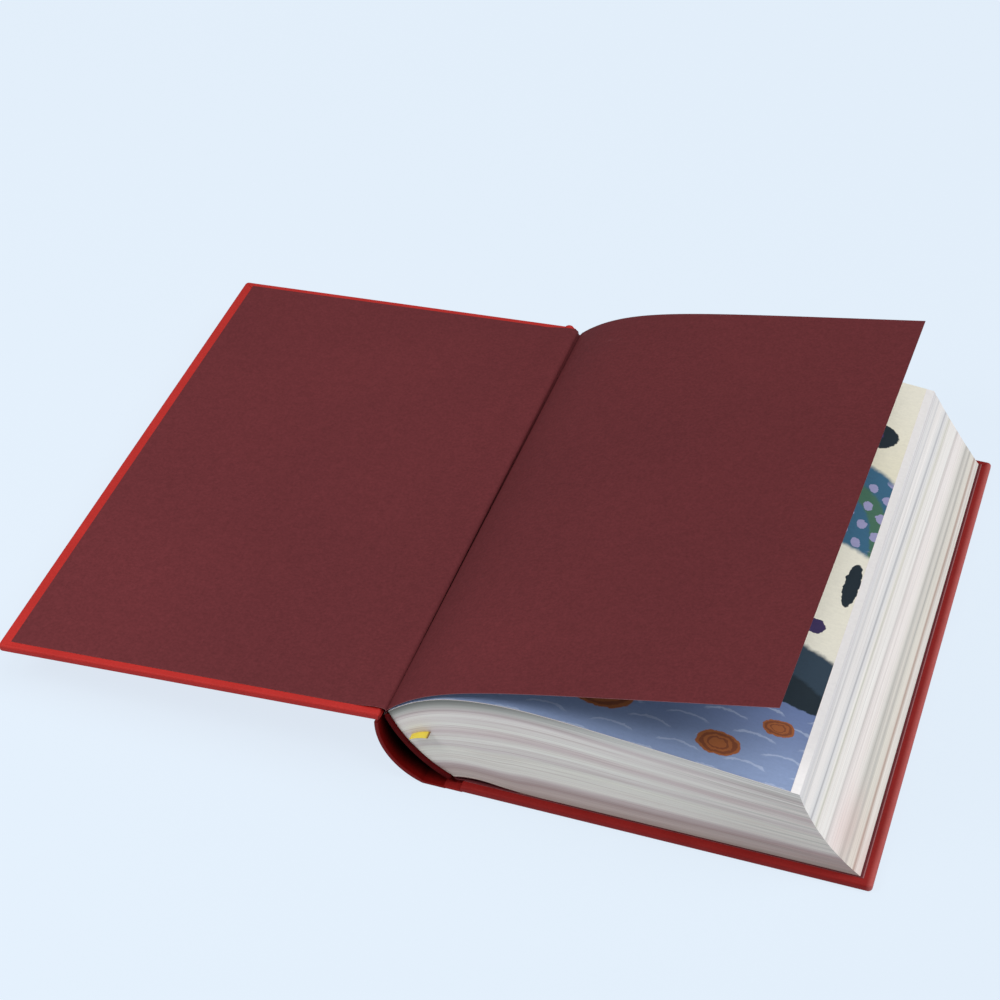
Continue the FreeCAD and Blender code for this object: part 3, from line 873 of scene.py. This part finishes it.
# The cloth of both joints: at the front from the case spine up beside the board to the gutter, at
# the back flat on the table between the strip and the board
def makeJoints():
    line = curveThrough([np.array(caseTop) + step for step in joints["front"]], 24)
    piece = ruledStrip("front_joint_cloth", line, line, joints["frontThickness"], 0.1,
                       book["coverHeight"] - 0.1, [coverCloth["spine"]])
    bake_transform(piece)
    line = np.stack([np.linspace(*joints["back"], 20), np.full(20, joints["backHeight"])], 1)
    piece = ruledStrip("back_joint_cloth", line, line, joints["backThickness"], 0.05,
                       book["coverHeight"] - 0.05, [coverCloth["back"]])
    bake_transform(piece)


makeCaseSpine()
makeJoints()
print("case spine and joints made")


# Endpapers at the joints

pasted = {
    "margin": 4.3, "endMargin": 2.9,
    "lift": 0.8, "reach": 14.0,  # the front one rises off its board towards the joint
    "sag": 0.3,                  # the back one dips between board and leaves
    "drift": 0.5,                # how far the front one ends further in at the head
    "backMargin": 3.6,
    "rest": 0.03,                # above the board's inner face
    "cutEdge": 0.4,              # unprinted line along the back one's fore-edge
}
pastedY = (pasted["endMargin"], book["coverHeight"] - pasted["endMargin"])


# A sheet of paper ruled from a line at the tail to one at the head, printed above. The first points
# of the lines are its fore-edge, with a thin unprinted line where edge is given
def paperSheet(name, lines, y, body=None, place=None, rims=(2, 0, 2, 2), edge=False):
    v = np.linspace(0, 1, 60)
    line = (1 - v)[None, :, None] * lines[0][:, None] + v[None, :, None] * lines[-1][:, None]
    high = y[0] + v * (y[1] - y[0])
    place = place or (lambda x, z: np.stack([x, z], -1))
    low, top = [standing(place(line[..., 0], line[..., 1] + up), high[None]) for up in (0, book["paper"])]
    uv = np.stack([line[..., 0] / 100, np.broadcast_to(high / 100, line.shape[:2])], -1)
    patches = slab(low, top, uv, 0, 1, rims)
    if edge:
        patches[:1] = [(top[:2], uv[:2], 2), (top[1:], uv[1:], 0)]
    piece = makePiece(name, patches, [endpaperPrint, endpaperBack, cutEndpaper], body)
    return piece


# Flat on the board, lifted a little at the joint, then down into the gutter
def makeFrontPasted():
    lines = []
    reach, lift = pasted["reach"], pasted["lift"]
    for drift in (0, pasted["drift"]):
        fold = leafRoot[0] + drift - frontEdge[0] - 0.05
        bend = [(reach, pasted["rest"]), (0.45 * reach, 0.5 * lift), (0.3, lift),
                (-0.6 * fold, 0.65 * lift), (-fold, -0.45)]
        flat = np.linspace(book["boardWidth"] - pasted["margin"], reach, 60)
        flat = np.stack([flat, np.full(60, pasted["rest"])], 1)
        lines.append(np.r_[flat[:-1], curveThrough(bend, 50)])
    piece = paperSheet("front_pasted_endpaper", lines, pastedY, place=onFrontCover)
    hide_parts("front_pastedown")
    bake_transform(piece)


# The back one on its board, and the short part that bends up to the leaves' lower corner
def makeBackPasted():
    floor = book["coverThickness"] + pasted["rest"]
    edge = book["backJoint"] + book["boardWidth"] - pasted["backMargin"]
    flat = np.r_[edge, np.linspace(edge - pasted["cutEdge"], book["backJoint"] + 0.4, 60)]
    flat = np.stack([flat, np.full(61, floor)], 1)
    piece = paperSheet("back_pasted_endpaper", [flat], pastedY, "back_cover", edge=True)
    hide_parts("back_pastedown")
    first, last = flat[-1], foot + (0.3, -0.42)
    bend = curveThrough([first, (12.9, floor - pasted["sag"]), (11.6, floor - pasted["sag"]), last], 30)
    piece = paperSheet("back_endpaper_joint", [bend], (pastedY[0] + 0.2, pastedY[1] - 0.2), rims=(0, 0, 0, 0))
    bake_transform(piece)


gutterFold = {                   # its line at tail and head, from the leaves' upper corner
    "tail": ((-0.3, -0.05), (-0.72, -1.4), (-0.85, -2.1), (-0.4, -1.5), (0.3, -0.3)),
    "head": ((0.2, -0.05), (0.62, -1.0), (1.0, -1.4), (1.4, -1.0), (2.1, -0.25)),
    "thickness": 0.22,
}


# The fold between the pasted half and the lifted leaf: down into the gutter and up again. Its cut
# end shows as a small tuft at the tail
def makeGutterFold():
    lines = []
    for end in ("tail", "head"):
        points = [leafRoot + step for step in gutterFold[end]]
        lines.append(evenly(curveThrough(points, 80), 40))
    piece = ruledStrip("gutter_fold", *lines, gutterFold["thickness"], pastedY[0] + 0.1, headY + 0.6,
                       [endpaperPrint, foldPaper], (0, 0, (0, 0, 1, 0)))
    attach(piece, "book_block")


makeFrontPasted()
makeBackPasted()
makeGutterFold()
print("endpapers made")


# Bands at the ends of the spine: a bead of (outwards, along Y) half sizes carried along the arc
bands = {
    "offset": 0.85, "half": (1.05, 0.75),
    "start": 0.5, "taper": 1.1,  # bare length at its ends, and length over which it narrows
    "square": 0.75,              # 1 for an oval bead, less for a squarer one
    "reach": 0.5,                # its middle beyond the leaves' ends
    "rib": 0.55, "steps": 220,
}


def bandFinish():
    make = Recipe("bandCloth", roughness=0.7, specular=0.08)
    along = make.apart(make.uv)[0]
    ribs = make.math("SINE", make.times(along, 2 * math.pi / bands["rib"]))
    tone = make.ramp(make.noise(make.object, 400.0, 2.0), [(0.3, ink(72, 2, 4)), (0.7, ink(84, 4, 6))])
    make.colour(tone)
    make.bump(ribs, 0.03 * mm, 0.35)
    return make.material


def makeBand(name, end, node):
    root = spineTop + (book["gutterDrift"] * end, 0)
    arc = evenly(arcLine(foot, root, book["spineArch"], 400), bands["steps"])
    run = np.linspace(0, np.hypot(*np.diff(arc, axis=0).T).sum(), len(arc))
    keep = (run > bands["start"]) & (run < run[-1] - bands["start"])
    near = np.minimum(run - bands["start"], run[-1] - bands["start"] - run)[keep]
    size = np.sqrt(1 - (1 - np.clip(near / bands["taper"], 0.02, 1)) ** 2)[:, None]
    outwards = leftOf(arc)[keep]
    angles = np.linspace(0, 2 * math.pi, 21)
    waves = (np.cos(angles), np.sin(angles))
    across, along = [np.sign(wave) * np.abs(wave) ** bands["square"] for wave in waves]
    out = bands["offset"] + size * bands["half"][0] * across
    middle = headY + bands["reach"] if end else tailY - bands["reach"]
    y = middle + size * bands["half"][1] * along
    flat = arc[keep][:, None] + outwards[:, None] * out[..., None]
    uv = np.stack([np.broadcast_to(run[keep][:, None], out.shape), np.broadcast_to(angles, out.shape)], -1)
    piece = makePiece(name, [(standing(flat, y), uv, 0)], [bandCloth], "book_block", 60, fill=True)
    standFor(piece, "band", node)


bandCloth = bandFinish()
makeBand("tail_endband", 0, "tail_band")
makeBand("head_endband", 1, "head_band")


# Ribbon, flat between the leaves: s runs across it, n through it
ribbon = {
    "width": 7.9, "thickness": 0.3,
    "slope": math.radians(26.0),
    "bow": 0.45,                 # it is arched like the leaves
    "place": 0.645,              # share of the way up the spine
    "short": 2.6, "long": 3.39,  # how far its slanting end hangs out
    "fold": 3.2, "tuck": 2.2,    # how far it is folded aside and down at the head
    "turn": 0.42, "rib": 0.5,
}
ribbonEdge = foot + ribbon["place"] * (spineTop - foot)


def onRibbon(s, n, y):
    cos, sin = math.cos(ribbon["slope"]), math.sin(ribbon["slope"])
    n = n + ribbon["bow"] * 4 * s * (ribbon["width"] - s) / ribbon["width"] ** 2
    shift = s + ribbon["place"] * book["gutterDrift"] * (y - tailY) / book["pageHeight"]
    return np.stack([ribbonEdge[0] + shift * cos - n * sin, y, ribbonEdge[1] + shift * sin + n * cos], -1)


# Satin with fine ribs across; U of the UV runs across the ribbon, whose far edge is painted darker and
# browner as shade, and V along it in millimetres
def ribbonFinish():
    make = Recipe("ribbonSatin", roughness=0.45, specular=0.4)
    across, along = make.apart(make.uv)[0:2]
    ribs = make.math("SINE", make.times(along, 2 * math.pi / ribbon["rib"]))
    # The last stops across the ribbon are painted shade on its far edge
    tone = make.ramp(across, [(0.0, ink(236, 212, 76)), (0.55, ink(238, 216, 76)), (0.88, ink(230, 206, 74)),
                              (0.95, ink(150, 122, 60)), (1.0, ink(120, 90, 60))])
    threads = make.noise(make.scaled(make.uv, (60.0, 0.6, 1)), 1.0, 2.0)
    make.colour(make.mottled(tone, threads, 0.92, 1.04))
    make.bump(ribs, 0.02 * mm, 0.4)
    return make.material


# The strip with its slanting end, and the turn at the head: a path (y, n) over which it also
# moves aside
def makeRibbon():
    across = np.linspace(0, 1, 16)
    s = across * ribbon["width"]
    begin = tailY - ribbon["short"] - (ribbon["long"] - ribbon["short"]) * across
    half = ribbon["thickness"] / 2
    along, aa = grid(np.linspace(0, 1, 80), across)
    y = begin + along * (headY - 1.0 - begin)
    ends = np.clip(np.minimum(aa, 1 - aa) * 30, 0.15, 1) * np.clip(along * 1200, 0.3, 1)
    sheets = [onRibbon(s + 0 * y, half + side * half * ends, y) for side in (-1, 1)]
    uv = np.stack([aa, y], -1)
    patches = slab(*sheets, uv)
    turn = np.radians(np.linspace(90, -90, 14))
    radius, end = ribbon["turn"], headY + 0.1
    over = np.stack([end + radius * np.cos(turn), half - radius + radius * np.sin(turn)], 1)[:8]
    down = np.stack([np.full(8, end + radius), np.linspace(-0.4, -ribbon["tuck"], 8)], 1)
    path = np.r_[[(headY - 1.2, half)], over, down]
    side = leftOf(path)
    aside = np.clip((path[:, 1] - half) / -ribbon["tuck"], 0, 1) * ribbon["fold"]
    aa = np.broadcast_to(across, (len(path), len(across)))
    sheets = []
    for sign in (-1, 1):
        shifted = path + sign * half * 0.9 * side
        sheets.append(onRibbon(s[None] - aside[:, None], shifted[:, 1:] + 0 * aa, shifted[:, :1] + 0 * aa))
    uv = np.stack([aa, np.linspace(0, 4, len(path))[:, None] + 0 * aa], -1)
    patches += slab(*sheets, uv)
    piece = makePiece("satin_ribbon", patches, [ribbonFinish()], "book_block", 50)
    standFor(piece, "ribbon", "ribbon_marker")


makeRibbon()
print("bands and ribbon made")


# Finishes of the CAD nodes that stay
finishes = {
    "back_board": greyBoard, "front_board": greyBoard, "spine_stiffener": greyBoard,
    "spine_lining": liningPaper, "back_flyleaf": endpaperPrint,
}
for name, finish in finishes.items():
    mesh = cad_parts[name].data
    mesh.materials.clear()
    mesh.materials.append(finish)


# Floor, light and camera

studio = {
    "floor": (227, 239, 251),
    "floorGlow": 0.9,           # share of the floor's brightness that no shadow takes away
    "sky": 0.28,
    "sun": 1.9, "sunFrom": (0.42, 0.1, 0.9), "sunAngle": 60,
    "lamp": {"place": (-0.5, -0.35, 0.55), "target": (-0.1, 0.0, 0.02), "size": 0.35, "power": 2.0},
}


def makeFloor():
    mesh = bpy.data.meshes.new("floor")
    reach = 6.0
    mesh.from_pydata([(-reach, -reach, 0), (reach, -reach, 0), (reach, reach, 0), (-reach, reach, 0)],
                     [], [(0, 1, 2, 3)])
    make = Recipe("floorPaper", roughness=0.95, specular=0.0)
    colour = np.array(ink(*studio["floor"]))
    make.shader.inputs["Base Color"].default_value = (*(colour[:3] * (1 - studio["floorGlow"])).tolist(), 1.0)
    make.shader.inputs["Emission Color"].default_value = colour.tolist()
    make.shader.inputs["Emission Strength"].default_value = studio["floorGlow"]
    mesh.materials.append(make.material)
    floor = bpy.data.objects.new("floor", mesh)
    bpy.context.scene.collection.objects.link(floor)


def makeLamp(name, kind, place, target, power):
    data = bpy.data.lights.new(name, kind)
    data.energy = power
    lamp = bpy.data.objects.new(name, data)
    lamp.location = place
    lamp.rotation_euler = (Vector(target) - Vector(place)).to_track_quat("-Z", "Y").to_euler()
    bpy.context.scene.collection.objects.link(lamp)
    return data


def makeLights():
    sun = makeLamp("sun", "SUN", studio["sunFrom"], (0, 0, 0), studio["sun"])
    sun.angle = math.radians(studio["sunAngle"])
    lamp = studio["lamp"]
    soft = makeLamp("softbox", "AREA", lamp["place"], lamp["target"], lamp["power"])
    soft.shape = "DISK"
    soft.size = lamp["size"]
    world = bpy.data.worlds.new("studio")
    world.use_nodes = True
    world.node_tree.nodes["Background"].inputs["Color"].default_value = grey(1.0)
    world.node_tree.nodes["Background"].inputs["Strength"].default_value = studio["sky"]
    bpy.context.scene.world = world


# Stands back from the target by distance, in the direction azimuth, elevation, and rolls a little
def makeCamera():
    view = {"azimuth": 16.828, "elevation": 39.893, "roll": 1.368, "distance": 1.050606,
            "target": (-0.108794, 0.036518, 0.0), "lens": 95.245}
    azimuth, elevation, roll = (math.radians(view[k]) for k in ("azimuth", "elevation", "roll"))
    back = Vector((math.sin(azimuth) * math.cos(elevation), -math.cos(azimuth) * math.cos(elevation),
                   math.sin(elevation)))
    level = Vector((math.cos(azimuth), math.sin(azimuth), 0))
    upright = back.cross(level)
    right = math.cos(roll) * level + math.sin(roll) * upright
    up = -math.sin(roll) * level + math.cos(roll) * upright
    data = bpy.data.cameras.new("camera")
    data.sensor_fit = "HORIZONTAL"
    data.sensor_width = 36.0
    data.lens = view["lens"]
    data.clip_start = 0.05
    camera = bpy.data.objects.new("camera", data)
    turn = Matrix((right, up, back)).transposed().to_4x4()
    camera.matrix_world = Matrix.Translation(Vector(view["target"]) + back * view["distance"]) @ turn
    bpy.context.scene.collection.objects.link(camera)
    bpy.context.scene.camera = camera


makeFloor()
makeCamera()
makeLights()
bpy.context.scene.view_settings.view_transform = "Standard"
print("studio made")
